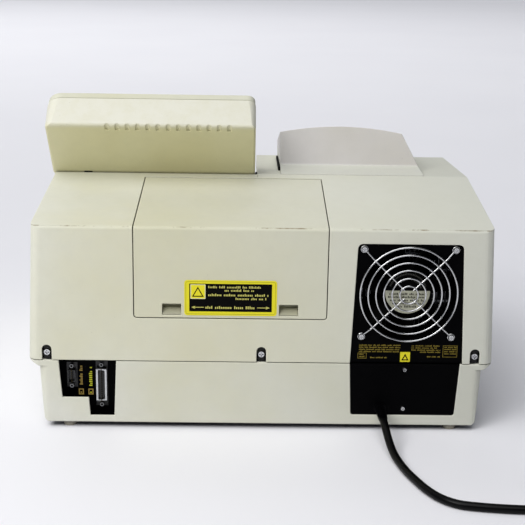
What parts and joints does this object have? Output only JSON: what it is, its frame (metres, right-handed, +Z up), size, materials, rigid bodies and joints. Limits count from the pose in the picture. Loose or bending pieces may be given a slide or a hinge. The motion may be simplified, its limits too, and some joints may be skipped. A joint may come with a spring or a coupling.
{
  "type": "thermal cycler",
  "caption": "Bench-top thermal cycler with a flip-up sample lid, arched display hood, rear access door, guarded fan and mains lead.",
  "frame": {"origin": "centre of the object's footprint, on the surface its feet stand on", "axes": "+Z up, the operator's side faces -Y, the rear panel faces +Y, +X to the operator's right"},
  "size_m": [0.6912, 0.7158, 0.3732],
  "materials": {
    "cover_plastic": "fine moulded texture",
    "base_plastic": "fine moulded texture",
    "door_plastic": "fine moulded texture",
    "lid_plastic": "fine moulded texture",
    "liner_plastic": "satin",
    "hood_plastic": "fine moulded texture",
    "black_paint": "satin black",
    "black_plastic": "satin",
    "label_print": "printed film",
    "sticker_yellow": "printed film",
    "bright_wire": "bright",
    "screw_steel": "plated",
    "connector_steel": "plated",
    "foot_rubber": "matt",
    "black_foam": "matt",
    "sheet_steel": "zinc plated",
    "block_aluminium": "machined",
    "heater_foil": "satin film",
    "sensor_brass": "satin",
    "insulation_foam": "closed-cell foam",
    "pad_silicone": "matt",
    "window_tint": "polished",
    "lcd_green": "satin",
    "membrane": "fine textured film",
    "board_green": "solder mask",
    "tank_plastic": "translucent natural",
    "cap_plastic": "satin",
    "pump_plastic": "satin",
    "hose_rubber": "matt",
    "compressor_paint": "semi-gloss black",
    "condenser_metal": "bare fins",
    "lead_rubber": "satin",
    "blade_brass": "bright"
  },
  "bodies": {
    "housing": {"base_tray": "base_plastic", "top_cover": "cover_plastic", "rubber_feet": "foot_rubber", "cover_screws": "screw_steel", "chassis_plate": "sheet_steel", "display_hood": "hood_plastic", "hood_seal": "black_foam", "display_window": "window_tint", "lcd_module": "lcd_green", "keypad_overlay": "membrane", "keypad_board": "board_green", "lid_hinge_rod": "screw_steel", "lid_hinge_brackets": "black_plastic", "bay_surround": "black_plastic", "sample_block": "block_aluminium", "block_heater": "heater_foil", "cold_plate": "block_aluminium", "block_sensor": "sensor_brass", "block_insulation": "insulation_foam", "rear_panel": "black_paint", "inlet_cover": "black_paint", "panel_screws": "screw_steel", "fan_frame": "black_plastic", "fan_guard": "bright_wire", "guard_screws": "screw_steel", "rating_plates": "label_print", "hazard_sticker": "sticker_yellow", "port_tray": "black_paint", "serial_connector": "connector_steel", "parallel_connector": "connector_steel", "connector_screws": "screw_steel", "port_labels": "label_print", "coolant_tank": "tank_plastic", "coolant_pump": "pump_plastic", "coolant_hose_feed": "hose_rubber", "coolant_hose_return": "hose_rubber", "compressor": "compressor_paint", "compressor_mounts": "foot_rubber", "condenser": "condenser_metal", "power_supply": "sheet_steel", "main_board": "board_green", "power_switch_bezel": "black_plastic", "strain_relief": "lead_rubber", "mains_lead": "lead_rubber", "lead_coil": "lead_rubber", "lead_tail": "lead_rubber", "plug_body": "lead_rubber", "plug_blades": "blade_brass"},
    "lid": {"lid_shell": "lid_plastic", "lid_liner": "liner_plastic", "lid_insulation": "insulation_foam", "lid_pad": "pad_silicone"},
    "door": {"access_door": "door_plastic", "door_label": "label_print"},
    "latch_left": {"door_latch_left": "door_plastic"},
    "latch_right": {"door_latch_right": "door_plastic"},
    "fan": {"fan_rotor": "black_plastic"},
    "rocker": {"power_rocker": "black_plastic"},
    "cap": {"tank_cap": "cap_plastic"}
  },
  "joints": [
    {"name": "lid_hinge", "type": "hinge", "parent": "housing", "child": "lid", "pos_m": [0.136, 0.0565, 0.269], "axis": [1, 0, 0], "range_deg": [0, 130]},
    {"name": "door_hinge", "type": "hinge", "parent": "housing", "child": "door", "pos_m": [0.0364, 0.07825, 0.26679], "axis": [1, 0, 0], "range_deg": [0, 42]},
    {"name": "latch_left_press", "type": "slide", "parent": "door", "child": "latch_left", "axis": [0, -1, 0], "range_m": [0, 0.003], "stiffness_N_per_m": 400},
    {"name": "latch_right_press", "type": "slide", "parent": "door", "child": "latch_right", "axis": [0, -1, 0], "range_m": [0, 0.003], "stiffness_N_per_m": 400},
    {"name": "fan_spin", "type": "hinge", "parent": "housing", "child": "fan", "pos_m": [-0.1683, 0.225, 0.1686], "axis": [0, 1, 0], "continuous": true},
    {"name": "power_switch", "type": "hinge", "parent": "housing", "child": "rocker", "pos_m": [0.205, -0.23279, 0.04401], "axis": [1, 0, 0], "range_deg": [0, 14]},
    {"name": "cap_turn", "type": "hinge", "parent": "housing", "child": "cap", "pos_m": [0.036, 0.172, 0.208], "axis": [0, 0, 1], "range_deg": [0, 90]}
  ]
}
